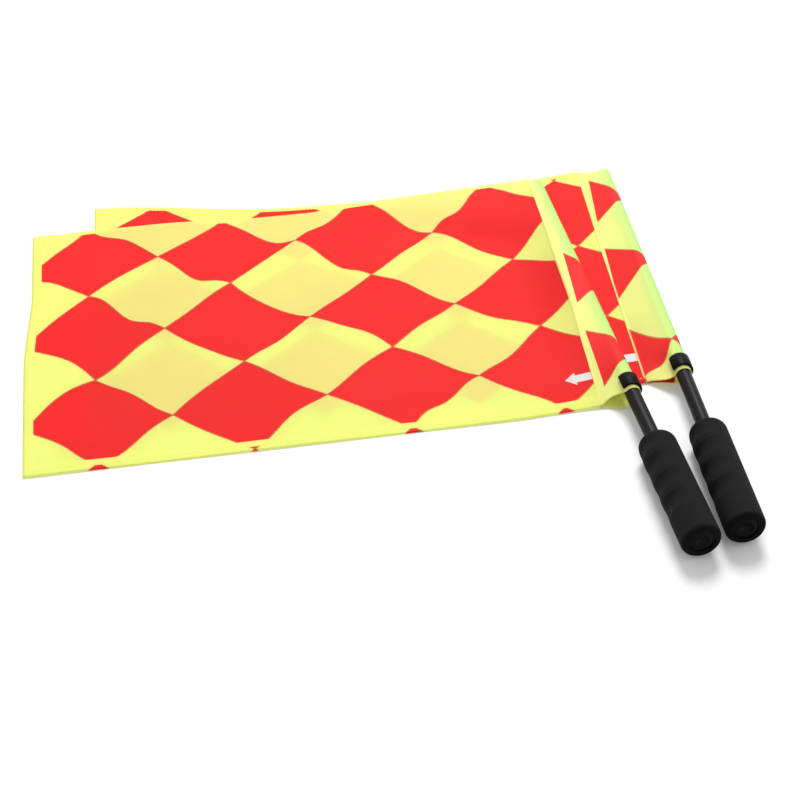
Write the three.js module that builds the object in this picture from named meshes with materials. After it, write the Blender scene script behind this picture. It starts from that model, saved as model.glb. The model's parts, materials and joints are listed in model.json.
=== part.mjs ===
// A pair of soccer linesman flags, the front one lying on the rear one. Millimetres, +Z up.
// Each flag is a turning pole with its cloth, held in a foam handle on one long axis.
import * as THREE from 'three';
import { mergeVertices } from 'three/addons/utils/BufferGeometryUtils.js';

// Pole: a thin round tube, from the tip cap to the stop inside the handle
const showingPole = 58;
const poleRadius = 6;
const poleWall = 1;
const tipHeadLength = 5;
const tipStemLength = 14;

// Gaps: between pieces that turn on each other, and between pieces that are fixed
const runningGap = 0.3;
const seatGap = 0.3;

// Handle: a foam grip on a plastic liner, which holds the end of the pole in a chamber
const gripLength = 116;
const gripRadius = 15.5;
const gripShoulder = 9;
const gripEndRounding = 4;
const linerRadius = 9;
const linerTopDepth = 8;
const chamberRadius = 7.8;
const buttRecess = 1;
const buttHeadThickness = 1.6;
const buttStemLength = 4;
const stopFlangeThickness = 3;
const stopStemLength = 18;
const washerThickness = 1;

// Finger grooves, on the side of the grip that faces up and towards the fly end
const grooveCount = 4;
const groovePitch = 22;
const grooveFirst = 13;
const grooveHalfWidth = 8.5;
const grooveDepth = 1.8;
const grooveFacingDegrees = 150;
const grooveHalfSpanDegrees = 85;

// Clip: an open plastic ring that holds the mouth of the pole sleeve on the pole
const clipWall = 1.8;
const clipLength = 15;
const clipHalfOpeningDegrees = 56;
const clipFromMouth = 3;

// Cloth: polyester, one cut that makes the field and the sleeve round the pole
const clothThickness = 0.6;
const clothHeight = 322;
const clothWidth = 477;
const layerGap = 0.35;
const sleeveSlotHalf = 0.15;
const sleeveFoldDepth = 1.2;
const neckDistance = 11.5;
const neckRunIn = 22;
const tentWidth = 36;
const farTentReachShare = 0.3;
const edgeDrape = 30;
const farDipHalfShare = 0.4;
const acrossPower = 1.15;
const tentPower = 1.6;
const openNeckShare = 0.8;
const drawInPower = 2;

// Main folds of the front cloth: two families of long diagonal ridges and a slow swell
const broadFoldHeight = 1.8;
const broadFoldSpacing = 118;
const narrowFoldHeight = 1.2;
const narrowFoldSpacing = 83;
const swellHeight = 0.8;
const swellSpacing = 205;
const foldWaves = [
  { height: broadFoldHeight, spacing: broadFoldSpacing, headingDegrees: -52, startShare: 0.67 },
  { height: narrowFoldHeight, spacing: narrowFoldSpacing, headingDegrees: -64, startShare: 0.19 },
  { height: swellHeight, spacing: swellSpacing, headingDegrees: 12, startShare: 0.59 },
];

// Counts of steps in the faceted shapes
const roundSteps = 28;
const domeSteps = 4;
const gripSteps = 28;
const shoulderSteps = 4;
const grooveSteps = 4;
const clipSteps = 10;
const lipSteps = 4;
const fieldStepsAcross = 34;
const fieldStepsAlong = 14;
const sleeveStepsAlong = 18;
const sleeveArcSteps = 12;

// How the pair lies: the gap between the butts of the two handles, how far the rear flag lies
// ahead of the front one, and how much further up its pole the rear cloth has slipped
const handleGap = 4.6;
const rearAdvance = 7;
const clothSlip = 10;

// Each flag's lie: tip, heading, how far the cloth reaches past the tip, how the fly end lies
// askew, how far its far corner is drawn in, how far the far edge dips at its slackest place,
// what lies underneath, where the sleeve's seam lies round the pole at its two ends, and how
// wide the cloth's rise to the seam is at the far end
const frontFlag = {
  prefix: 'front',
  tipX: 0,
  tipY: 0,
  yawDegrees: 1.33,
  clothPastTip: 6,
  flySkew: 7,
  flyDrawIn: 17,
  farDip: 0,
  farDipShare: 0.5,
  lift: clothThickness + layerGap,
  seamFar: { degrees: 100, distance: 8.8 },
  seamNear: { degrees: 217, distance: 20.5 },
  seamTurnStartShare: 0.25,
  neckDegrees: 202,
  farTentWidth: 190,
  foldShare: 1,
};

const fromDegrees = (degrees) => degrees * Math.PI / 180;
const stickLength = clothHeight - frontFlag.clothPastTip + showingPole + gripLength;

const rearYawDegrees = -2.4;
const polesSpread = Math.sin(fromDegrees(frontFlag.yawDegrees)) - Math.sin(fromDegrees(rearYawDegrees));
const rearFlag = {
  prefix: 'rear',
  tipX: 2 * gripRadius + handleGap + stickLength * polesSpread,
  tipY: rearAdvance,
  yawDegrees: rearYawDegrees,
  clothPastTip: frontFlag.clothPastTip + clothSlip,
  flySkew: -4,
  flyDrawIn: 0,
  farDip: 20,
  farDipShare: 0.6,
  lift: 0,
  seamFar: { degrees: 199, distance: 15.5 },
  seamNear: { degrees: 205, distance: 29 },
  seamTurnStartShare: 0,
  neckDegrees: 214,
  farTentWidth: tentWidth,
  foldShare: 0,
};

// Sizes that follow from those above
const boreRadius = poleRadius - poleWall;
const sleeveInnerRadius = poleRadius + seatGap;
const sleeveOuterRadius = sleeveInnerRadius + clothThickness;
const clipInnerRadius = sleeveOuterRadius + seatGap;
const gripStart = stickLength - gripLength;
const buttFace = stickLength - buttRecess;
const linerEnd = buttFace - buttHeadThickness - seatGap;
const buttStemEnd = linerEnd - buttStemLength;
const flangeEnd = buttStemEnd - runningGap;
const flangeStart = flangeEnd - stopFlangeThickness;
const poleEnd = flangeStart - seatGap;
const washerEnd = poleEnd;
const washerStart = washerEnd - washerThickness;
const chamberStart = washerStart - runningGap;
const linerStart = gripStart + linerTopDepth;

// A share from 0 to 1 that starts and ends smoothly
function smoothShare(share) {
  const held = Math.min(1, Math.max(0, share));
  return held * held * (3 - 2 * held);
}

const mix = (from, to, share) => from + (to - from) * share;

// Materials, by the piece's name without its prefix
function makeMaterial(colour, roughness, metalness) {
  return new THREE.MeshStandardMaterial({ color: colour, roughness, metalness });
}

const blackTube = () => makeMaterial(0x2a2725, 0.4, 0.2);
const blackFoam = () => makeMaterial(0x1e1e1e, 0.95, 0);
const blackPlastic = () => makeMaterial(0x161616, 0.35, 0);
const whiteNylon = () => makeMaterial(0xdedcd4, 0.5, 0);
const yellowCloth = () => makeMaterial(0xf2fb85, 0.8, 0);
const sleeveCloth = () => makeMaterial(0xe4fb90, 0.8, 0);

function namedMesh(name, geometry, material) {
  const mesh = new THREE.Mesh(geometry, material);
  mesh.name = name;
  return mesh;
}

// Adds the two triangles of a four-sided face
function pushFace(triangles, a, b, c, d) {
  triangles.push(a, b, c, a, c, d);
}

function solidFrom(points, triangles) {
  const geometry = new THREE.BufferGeometry();
  const values = points.flatMap((point) => [point.x, point.y, point.z]);
  geometry.setAttribute('position', new THREE.Float32BufferAttribute(values, 3));
  geometry.setIndex(triangles);
  const merged = mergeVertices(geometry);
  merged.computeVertexNormals();
  return merged;
}

// A tube wall between rows of outer loops and rows of inner loops. Every loop has the same
// count of points and runs the same way round; the rows run towards -Y. Both skins are split
// along the same diagonals, so that a twisted wall keeps its thickness.
function loopTube(outerLoops, innerLoops) {
  const count = outerLoops[0].length;
  const points = [...outerLoops.flat(), ...innerLoops.flat()];
  const inner = outerLoops.length * count;
  const triangles = [];
  const nextTo = (step) => (step + 1) % count;
  for (let row = 0; row < outerLoops.length - 1; row += 1) {
    const here = row * count;
    const after = here + count;
    for (let step = 0; step < count; step += 1) {
      const next = nextTo(step);
      pushFace(triangles, here + next, after + next, after + step, here + step);
    }
  }
  for (let row = 0; row < innerLoops.length - 1; row += 1) {
    const here = inner + row * count;
    const after = here + count;
    for (let step = 0; step < count; step += 1) {
      const next = nextTo(step);
      pushFace(triangles, here + next, here + step, after + step, after + next);
    }
  }
  const outerEnd = inner - count;
  const innerEnd = points.length - count;
  for (let step = 0; step < count; step += 1) {
    const next = nextTo(step);
    pushFace(triangles, step, inner + step, inner + next, next);
    pushFace(triangles, outerEnd + next, innerEnd + next, innerEnd + step, outerEnd + step);
  }
  return solidFrom(points, triangles);
}

// A closed ring or solid of revolution on the stick axis. Profile points are given as
// [radius, distance from the tip], and the distance runs towards -Y.
function turned(profile) {
  const outline = profile.map(([radius, distance]) => new THREE.Vector2(radius, -distance));
  const first = outline[0];
  const last = outline[outline.length - 1];
  if (first.x > 0 || last.x > 0) {
    outline.push(first.clone());
  }
  if (THREE.ShapeUtils.area(outline) < 0) {
    outline.reverse();
  }
  return new THREE.LatheGeometry(outline, roundSteps);
}

// The rigid pieces of one flag, in the stick's own frame: the tip at the origin, the
// handle towards -Y, the axis on Y.

function poleTube() {
  return turned([
    [boreRadius, tipHeadLength + seatGap],
    [poleRadius, tipHeadLength + seatGap],
    [poleRadius, poleEnd],
    [boreRadius, poleEnd],
  ]);
}

function tipCap() {
  const stemRadius = boreRadius - seatGap;
  const dome = [[0, 0]];
  for (let step = 1; step <= domeSteps; step += 1) {
    const angle = fromDegrees(90 * step / domeSteps);
    dome.push([poleRadius * Math.sin(angle), tipHeadLength * (1 - Math.cos(angle))]);
  }
  return turned([
    ...dome,
    [stemRadius, tipHeadLength],
    [stemRadius, tipHeadLength + tipStemLength],
    [0, tipHeadLength + tipStemLength],
  ]);
}

function poleEndStop() {
  const flangeRadius = chamberRadius - runningGap;
  const stemRadius = boreRadius - seatGap;
  return turned([
    [0, flangeEnd],
    [flangeRadius, flangeEnd],
    [flangeRadius, flangeStart],
    [stemRadius, flangeStart],
    [stemRadius, flangeStart - stopStemLength],
    [0, flangeStart - stopStemLength],
  ]);
}

function thrustWasher() {
  return turned([
    [poleRadius + runningGap, washerStart],
    [chamberRadius - runningGap, washerStart],
    [chamberRadius - runningGap, washerEnd],
    [poleRadius + runningGap, washerEnd],
  ]);
}

function handleLiner() {
  return turned([
    [poleRadius + runningGap, linerStart],
    [linerRadius, linerStart],
    [linerRadius, linerEnd],
    [chamberRadius, linerEnd],
    [chamberRadius, chamberStart],
    [poleRadius + runningGap, chamberStart],
  ]);
}

function buttCap() {
  const stemRadius = chamberRadius - seatGap;
  return turned([
    [0, buttStemEnd],
    [stemRadius, buttStemEnd],
    [stemRadius, buttFace - buttHeadThickness],
    [linerRadius, buttFace - buttHeadThickness],
    [linerRadius, buttFace],
    [0, buttFace],
  ]);
}

// Radius of the grip's plain outline at a distance from the tip
function gripOutline(distance) {
  const fromStart = distance - gripStart;
  const fromEnd = stickLength - distance;
  if (fromStart < gripShoulder) {
    const rise = gripShoulder - fromStart;
    return gripRadius - gripShoulder + Math.sqrt(Math.max(0, gripShoulder ** 2 - rise ** 2));
  }
  if (fromEnd < gripEndRounding) {
    const rise = gripEndRounding - fromEnd;
    return gripRadius - gripEndRounding + Math.sqrt(Math.max(0, gripEndRounding ** 2 - rise ** 2));
  }
  return gripRadius;
}

// How deep the finger grooves are at a distance from the tip and an angle round the axis
function grooveDip(distance, angle) {
  const facing = fromDegrees(grooveFacingDegrees);
  const turn = Math.abs(Math.atan2(Math.sin(angle - facing), Math.cos(angle - facing)));
  const span = fromDegrees(grooveHalfSpanDegrees);
  const sideShare = smoothShare((span - turn) / span);
  let dip = 0;
  for (let groove = 0; groove < grooveCount; groove += 1) {
    const centre = gripStart + grooveFirst + groove * groovePitch;
    const across = Math.abs(distance - centre) / grooveHalfWidth;
    dip = Math.max(dip, across < 1 ? 1 - across ** 2 : 0);
  }
  return grooveDepth * dip * sideShare;
}

// Distances from the tip at which the grip's wall has a row of points
function gripStations() {
  const stations = [];
  for (let step = 0; step <= shoulderSteps; step += 1) {
    const angle = fromDegrees(mix(0, 90, step / shoulderSteps));
    stations.push(gripStart + gripShoulder * (1 - Math.cos(angle)));
    stations.push(stickLength - gripEndRounding * (1 - Math.cos(angle)));
  }
  for (let groove = 0; groove < grooveCount; groove += 1) {
    const centre = gripStart + grooveFirst + groove * groovePitch;
    for (let step = 0; step <= grooveSteps; step += 1) {
      const along = mix(-grooveHalfWidth, grooveHalfWidth, step / grooveSteps);
      stations.push(centre + along);
    }
  }
  const apart = gripEndRounding / gripSteps;
  const sorted = stations.sort((a, b) => a - b);
  return sorted.filter((station, index) => index === 0 || station - sorted[index - 1] > apart);
}

function gripLoop(distance, radiusAt) {
  const loop = [];
  for (let step = 0; step < gripSteps; step += 1) {
    const angle = 2 * Math.PI * step / gripSteps;
    const radius = radiusAt(angle);
    loop.push(new THREE.Vector3(radius * Math.cos(angle), -distance, radius * Math.sin(angle)));
  }
  return loop;
}

// The bore hugs the pole at the top of the grip and opens out square for the liner below it
function foamGrip() {
  const outer = gripStations().map((distance) => gripLoop(distance, (angle) => (
    gripOutline(distance) - grooveDip(distance, angle))));
  const boreStep = linerStart - seatGap;
  const narrow = () => poleRadius + runningGap;
  const wide = () => linerRadius + seatGap;
  const inner = [
    gripLoop(gripStart, narrow),
    gripLoop(boreStep, narrow),
    gripLoop(boreStep, wide),
    gripLoop(stickLength, wide),
  ];
  return loopTube(outer, inner);
}

// The open ring, in the plane across the stick, centred on the axis
function clothClip() {
  const outerRadius = clipInnerRadius + clipWall;
  const middleRadius = clipInnerRadius + clipWall / 2;
  const start = fromDegrees(clipHalfOpeningDegrees);
  const end = 2 * Math.PI - start;
  const outline = [];
  const addArc = (centreX, centreY, radius, from, to, steps) => {
    for (let step = 0; step < steps; step += 1) {
      const angle = mix(from, to, step / steps);
      const x = centreX + radius * Math.cos(angle);
      outline.push(new THREE.Vector2(x, centreY + radius * Math.sin(angle)));
    }
  };
  const lipAt = (angle) => [middleRadius * Math.cos(angle), middleRadius * Math.sin(angle)];
  addArc(0, 0, outerRadius, start, end, 2 * clipSteps);
  addArc(...lipAt(end), clipWall / 2, end, end + Math.PI, lipSteps);
  addArc(0, 0, clipInnerRadius, end, start, 2 * clipSteps);
  addArc(...lipAt(start), clipWall / 2, start + Math.PI, start + 2 * Math.PI, lipSteps);
  const options = { depth: clipLength, bevelEnabled: false };
  return new THREE.ExtrudeGeometry(new THREE.Shape(outline), options);
}

// Slope and height of a flag's stick: the grip's shoulder and the sleeve under the tip
// rest on what lies below
function stickStance(flag) {
  const tipHeight = flag.lift + sleeveOuterRadius;
  const restDistance = gripStart + gripShoulder;
  const slope = (gripRadius - tipHeight) / restDistance;
  return { tipHeight, slope };
}

// Height of the stick's axis; the cloth past the tip lies as low as at the tip
function axisHeight(flag, y) {
  const stance = stickStance(flag);
  return stance.tipHeight - Math.min(0, y) * stance.slope;
}

// A point of the flag's own frame, placed in the layout that both flags share
function layoutPoint(flag, x, y) {
  const yaw = fromDegrees(flag.yawDegrees);
  return {
    x: flag.tipX + x * Math.cos(yaw) - y * Math.sin(yaw),
    y: flag.tipY + x * Math.sin(yaw) + y * Math.cos(yaw),
  };
}

function flagPoint(flag, place) {
  const yaw = fromDegrees(flag.yawDegrees);
  const x = place.x - flag.tipX;
  const y = place.y - flag.tipY;
  return { x: x * Math.cos(yaw) + y * Math.sin(yaw), y: -x * Math.sin(yaw) + y * Math.cos(yaw) };
}

const mouthY = (flag) => flag.clothPastTip - clothHeight;

// Where the sleeve's seam lies, as an angle round the stick axis and a distance from it
function seamAt(flag, y) {
  const along = (flag.clothPastTip - y) / clothHeight;
  const start = flag.seamTurnStartShare;
  const turn = Math.min(1, Math.max(0, (along - start) / (1 - start)));
  return {
    angle: fromDegrees(mix(flag.seamFar.degrees, flag.seamNear.degrees, turn)),
    distance: mix(flag.seamFar.distance, flag.seamNear.distance, turn * turn),
  };
}

function seamPoint(flag, y) {
  const seam = seamAt(flag, y);
  return {
    x: seam.distance * Math.cos(seam.angle),
    z: axisHeight(flag, y) + seam.distance * Math.sin(seam.angle),
  };
}

// One cross-section of the sleeve wall: round the pole, drawn in at a neck, then flat to
// the seam. Inset is 0 for the outside of the cloth and 1 for its inside.
function sleeveLoop(flag, y, inset) {
  const height = axisHeight(flag, y);
  const clipMiddle = mouthY(flag) + clipFromMouth + clipLength / 2;
  const pinch = 1 - smoothShare((Math.abs(y - clipMiddle) - clipLength / 2) / neckRunIn);
  const seam = seamAt(flag, y);
  const neckAngle = mix(seam.angle, fromDegrees(flag.neckDegrees), pinch);
  const openNeck = mix(sleeveOuterRadius, seam.distance - sleeveFoldDepth, openNeckShare);
  const neck = Math.min(openNeck, mix(openNeck, neckDistance, pinch));
  const radius = inset ? sleeveInnerRadius : sleeveOuterRadius;
  const half = inset ? sleeveSlotHalf : sleeveSlotHalf + clothThickness;
  const leave = Math.acos(sleeveInnerRadius / neck);
  const tip = new THREE.Vector2(Math.cos(seam.angle), Math.sin(seam.angle));
  tip.multiplyScalar(seam.distance);
  const throat = new THREE.Vector2(Math.cos(neckAngle), Math.sin(neckAngle));
  throat.multiplyScalar(neck);
  const run = tip.clone().sub(throat).normalize();
  const side = new THREE.Vector2(-run.y, run.x);
  const end = tip.clone().addScaledVector(run, inset ? -sleeveFoldDepth : 0);
  const flat = [];
  flat.push(end.clone().addScaledVector(side, half));
  flat.push(throat.clone().addScaledVector(side, half));
  for (let step = 0; step <= sleeveArcSteps; step += 1) {
    const angle = neckAngle + leave + (2 * Math.PI - 2 * leave) * step / sleeveArcSteps;
    flat.push(new THREE.Vector2(Math.cos(angle), Math.sin(angle)).multiplyScalar(radius));
  }
  flat.push(throat.clone().addScaledVector(side, -half));
  flat.push(end.clone().addScaledVector(side, -half));
  return flat.map((point) => new THREE.Vector3(point.x, y, height + point.y));
}

function poleSleeve(flag) {
  const outer = [];
  const inner = [];
  for (let step = 0; step <= sleeveStepsAlong; step += 1) {
    const y = flag.clothPastTip - clothHeight * step / sleeveStepsAlong;
    outer.push(sleeveLoop(flag, y, 0));
    inner.push(sleeveLoop(flag, y, 1));
  }
  return loopTube(outer, inner);
}

// How much of the rear cloth lies under a layout point: 1 inside its edges, 0 well outside
function rearCover(place) {
  const local = flagPoint(rearFlag, place);
  const pastFly = -clothWidth - local.x;
  const nearEdge = mouthY(rearFlag) - rearFlag.flySkew * local.x / clothWidth;
  const pastNear = nearEdge - local.y;
  const past = Math.max(0, pastFly, pastNear);
  return 1 - smoothShare(past / edgeDrape);
}

// Height of the front cloth's folds above what it lies on
function foldHeight(place) {
  let height = 0;
  for (const wave of foldWaves) {
    const heading = fromDegrees(wave.headingDegrees);
    const along = place.x * Math.cos(heading) + place.y * Math.sin(heading);
    const phase = 2 * Math.PI * (along / wave.spacing + wave.startShare);
    height += wave.height * 0.5 * (1 + Math.sin(phase));
  }
  return height;
}

// Underside of a flag's cloth where it lies spread out, away from the pole
function groundHeight(flag, place) {
  if (!flag.foldShare) {
    return 0;
  }
  return flag.lift * rearCover(place) + flag.foldShare * foldHeight(place);
}

// Place along the stick of a point of the spread cloth
function clothY(flag, acrossShare, alongShare) {
  const aside = Math.abs(acrossShare - flag.farDipShare) / farDipHalfShare;
  const dip = flag.farDip * (1 - smoothShare(aside)) * (1 - alongShare);
  return flag.clothPastTip - clothHeight * alongShare + flag.flySkew * acrossShare - dip;
}

// The spread cloth between the seam and the fly hem: two skins and a wall round them
function flagField(flag) {
  const rows = [];
  for (let along = 0; along <= fieldStepsAlong; along += 1) {
    const alongShare = along / fieldStepsAlong;
    const row = [];
    for (let across = 0; across <= fieldStepsAcross; across += 1) {
      const acrossShare = (across / fieldStepsAcross) ** acrossPower;
      const y = clothY(flag, acrossShare, alongShare);
      const seam = seamPoint(flag, y);
      const start = seam.x - seatGap - clothThickness;
      const flyEdge = flag.flyDrawIn * (1 - alongShare) ** drawInPower - clothWidth;
      const x = mix(start, flyEdge, acrossShare);
      const ground = groundHeight(flag, layoutPoint(flag, x, y));
      const narrowed = smoothShare(alongShare / farTentReachShare);
      const width = mix(flag.farTentWidth, tentWidth, narrowed);
      const risen = Math.max(0, 1 - (start - x) / width) ** tentPower;
      const base = mix(ground, seam.z - clothThickness / 2, risen);
      row.push(new THREE.Vector3(x, y, base));
    }
    rows.push(row);
  }
  const upper = rows.map((row) => row.map((point) => (
    new THREE.Vector3(point.x, point.y, point.z + clothThickness))));
  const wide = fieldStepsAcross + 1;
  const points = [...upper.flat(), ...rows.flat()];
  const lower = wide * (fieldStepsAlong + 1);
  const triangles = [];
  const at = (along, across) => along * wide + across;
  for (let along = 0; along < fieldStepsAlong; along += 1) {
    for (let across = 0; across < fieldStepsAcross; across += 1) {
      const a = at(along, across);
      const b = at(along, across + 1);
      const c = at(along + 1, across + 1);
      const d = at(along + 1, across);
      pushFace(triangles, a, b, c, d);
      pushFace(triangles, lower + a, lower + d, lower + c, lower + b);
    }
  }
  for (let across = 0; across < fieldStepsAcross; across += 1) {
    const a = at(0, across);
    const b = at(0, across + 1);
    pushFace(triangles, b, a, lower + a, lower + b);
    const c = at(fieldStepsAlong, across);
    const d = at(fieldStepsAlong, across + 1);
    pushFace(triangles, c, d, lower + d, lower + c);
  }
  for (let along = 0; along < fieldStepsAlong; along += 1) {
    const a = at(along, 0);
    const b = at(along + 1, 0);
    pushFace(triangles, a, b, lower + b, lower + a);
    const c = at(along, fieldStepsAcross);
    const d = at(along + 1, fieldStepsAcross);
    pushFace(triangles, d, c, lower + c, lower + d);
  }
  return solidFrom(points, triangles);
}

// One whole flag: its stick in a tilted group, its cloth beside it
function makeFlag(flag) {
  const whole = new THREE.Group();
  whole.position.set(flag.tipX, flag.tipY, 0);
  whole.rotation.z = fromDegrees(flag.yawDegrees);
  const stick = new THREE.Group();
  const stance = stickStance(flag);
  stick.position.z = stance.tipHeight;
  stick.rotation.x = -Math.atan(stance.slope);
  whole.add(stick);
  const name = (piece) => `${flag.prefix}_${piece}`;

  stick.add(namedMesh(name('pole_tube'), poleTube(), blackTube()));
  stick.add(namedMesh(name('tip_cap'), tipCap(), blackPlastic()));
  stick.add(namedMesh(name('pole_end_stop'), poleEndStop(), whiteNylon()));
  stick.add(namedMesh(name('thrust_washer'), thrustWasher(), whiteNylon()));
  stick.add(namedMesh(name('handle_liner'), handleLiner(), blackPlastic()));
  stick.add(namedMesh(name('butt_cap'), buttCap(), blackPlastic()));
  stick.add(namedMesh(name('foam_grip'), foamGrip(), blackFoam()));

  const clip = namedMesh(name('cloth_clip'), clothClip(), blackPlastic());
  const clipTurn = new THREE.Group();
  clip.rotation.z = fromDegrees(flag.neckDegrees);
  clipTurn.add(clip);
  clipTurn.rotation.x = Math.PI / 2;
  clipTurn.position.y = mouthY(flag) + clipFromMouth + clipLength;
  stick.add(clipTurn);

  whole.add(namedMesh(name('pole_sleeve'), poleSleeve(flag), sleeveCloth()));
  whole.add(namedMesh(name('flag_field'), flagField(flag), yellowCloth()));
  return whole;
}

const pair = new THREE.Group();
pair.add(makeFlag(rearFlag));
pair.add(makeFlag(frontFlag));

// The origin is the middle of the base of the pair's bounding box
pair.updateMatrixWorld(true);
const reach = new THREE.Box3().setFromObject(pair, true);
const middle = reach.getCenter(new THREE.Vector3());
pair.position.set(-middle.x, -middle.y, -reach.min.z);

export default pair;
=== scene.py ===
"""A pair of soccer linesman flags, the front one lying on the rear one, on a pale table.

Each flag is a turning black pole in a foam grip, with a cloth of printed red diamonds on
fluorescent yellow. Lengths below are in millimetres and become metres where a mesh is made.
"""
import json
import math

import bmesh
import bpy
import numpy as np
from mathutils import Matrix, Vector


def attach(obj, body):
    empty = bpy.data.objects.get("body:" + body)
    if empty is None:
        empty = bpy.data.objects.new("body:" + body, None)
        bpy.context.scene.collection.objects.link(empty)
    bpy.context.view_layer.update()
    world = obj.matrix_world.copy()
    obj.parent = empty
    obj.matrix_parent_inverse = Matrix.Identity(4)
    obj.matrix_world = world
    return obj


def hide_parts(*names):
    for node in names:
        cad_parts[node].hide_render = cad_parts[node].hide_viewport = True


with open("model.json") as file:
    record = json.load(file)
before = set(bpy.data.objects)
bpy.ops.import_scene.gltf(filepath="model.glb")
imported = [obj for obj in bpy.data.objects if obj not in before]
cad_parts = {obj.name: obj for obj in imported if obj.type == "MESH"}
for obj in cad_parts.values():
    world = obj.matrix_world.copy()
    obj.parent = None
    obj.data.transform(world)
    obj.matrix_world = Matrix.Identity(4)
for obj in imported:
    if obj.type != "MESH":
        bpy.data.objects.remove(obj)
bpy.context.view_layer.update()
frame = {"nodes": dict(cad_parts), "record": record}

MM = 0.001
JOINTS = {joint["name"]: joint for joint in frame["record"]["behaviour"]["joints"]}

# Stick, grip, clip and butt, the same sizes as the CAD nodes that the pieces stand for
POLE_RADIUS = 6.0
POLE_WALL = 1.0
POLE_START = 5.3
POLE_EDGE = 0.25
BARE_STICK = 58.0
GRIP_LENGTH = 116.0
GRIP_RADIUS = 15.5
GRIP_SHOULDER = 9.0
GRIP_END_ROUNDING = 4.0
GRIP_BORE = 9.3
GRIP_NECK_BORE = 6.3
GRIP_NECK_LENGTH = 7.7
GROOVE_COUNT = 4
GROOVE_PITCH = 22.0
GROOVE_FIRST = 13.0
GROOVE_HALF_WIDTH = 8.5
GROOVE_DEPTH = 1.8
GROOVE_FACING = 150.0
GROOVE_HALF_SPAN = 85.0
GROOVE_LEAN_SHARE = 0.5
CLIP_INNER = 7.2
CLIP_WALL = 1.8
CLIP_LENGTH = 15.0
CLIP_HALF_OPENING = 56.0
CLIP_LIP_GAP = 3.0
CLIP_FROM_MOUTH = 3.0
CLIP_EDGE = 0.5
CLIP_EASE_SHARES = (0.26, 0.4)
BUTT_RADIUS = 9.0
BUTT_STEM_RADIUS = 7.5
BUTT_STEM = 4.0
BUTT_RECESS = 1.0
BUTT_HEAD = 1.6
BUTT_RING_RADIUS = 6.2
BUTT_RING_WIDTH = 1.3
BUTT_RING_RISE = 0.5
BUTT_DISH = 2.2
RUNNING_GAP = 0.3
STOP_FLANGE = 3.0

# How finely the turned, swept and grooved pieces are divided
LATHE_SEGMENTS = 96
GRIP_SEGMENTS = 144
GRIP_STEP = 0.7
ROUNDING_STEP = 9
CLIP_ARC_STEPS = 60
CLIP_LIP_STEPS = 8
BUTT_RING_STEP = 20
BUTT_DISH_STEPS = 9

# Cloth
CLOTH_HEIGHT = 322.0
CLOTH_WIDTH = 477.0
CLOTH_THICKNESS = 0.36
CAD_CLOTH_THICKNESS = 0.6
HEM_WIDTH = 7.0
HEM_THICKER = 0.34
HEM_STEP = 1.6
SLEEVE_RADIUS = 6.62
OVERLAY_RISE = 0.42
TENT_WIDTH = 36.0
TENT_POWER = 1.6
FAR_TENT_POWER = 1.1
FAR_TENT_SHARE = 0.3
HEM_FLATTENS = 45.0
HEM_FOLD_SHARE = 0.2
END_DROOP_LENGTH = 22.0
END_FLAT_LENGTH = 7.0
END_FLAT_SHARE = 0.07
END_WIDENS = 0.45
DRAW_IN_POWER = 1.2
EDGE_DRAPE = 30.0
FLY_BULGE_SHARES = (0.25, 0.6)
NECK_RUN_IN = 22.0
MOUTH_LENGTH = 34.0
MOUTH_FADE = 78.0
MOUTH_LANDING_SHARE = 0.14
MOUTH_DROP_SHARES = (0.9, 0.4)
MOUTH_RISE_SHARES = (0.4, 0.7)
MOUTH_LOWEST = 0.4
FOLD_WAVES = (
    {"height": 1.8, "spacing": 118.0, "heading": -52.0, "start": 0.67},
    {"height": 1.2, "spacing": 83.0, "heading": -64.0, "start": 0.19},
    {"height": 0.8, "spacing": 205.0, "heading": 12.0, "start": 0.59},
)
FIELD_COLUMNS = 200
FIELD_ROWS = 136
SLEEVE_ROWS = 170
OVERLAY_STEPS = 5
SPAN_STEPS = 16
ARC_STEPS = 30
# Painted shade on the sleeve: it grows from this many sleeve radii left of the stick to one radius
# right of it
PAINTED_SHADE_START = 1.5

# Sewing thread. Each stitch is a row of rings: place along it, thickness and rise, as shares.
THREAD_RADIUS = 0.24
STITCH_LENGTH = 2.3
STITCH_PITCH = 3.0
STITCH_SIDES = 6
LOOK_AHEAD = 0.5
STITCH_RING_SHARES = ((-1.0, 0.25, -0.7), (-0.75, 0.8, -0.2), (-0.3, 1.0, 0.45),
                      (0.3, 1.0, 0.45), (0.75, 0.8, -0.2), (1.0, 0.25, -0.7))
SEAM_STEPS = 400
SEAM_END_GAP = 3.0
HEM_STITCH_IN = 5.6
STITCH_INSET = 2.0
BAND_STITCH_IN = 1.3

# Print: touching red diamonds. A column is half a diamond's width and a row half its height.
DIAMOND_WIDTH = 125.0
DIAMOND_HEIGHT = 107.7
PRINT_PASSES = 14
PRINT_EASE = 0.8
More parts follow.
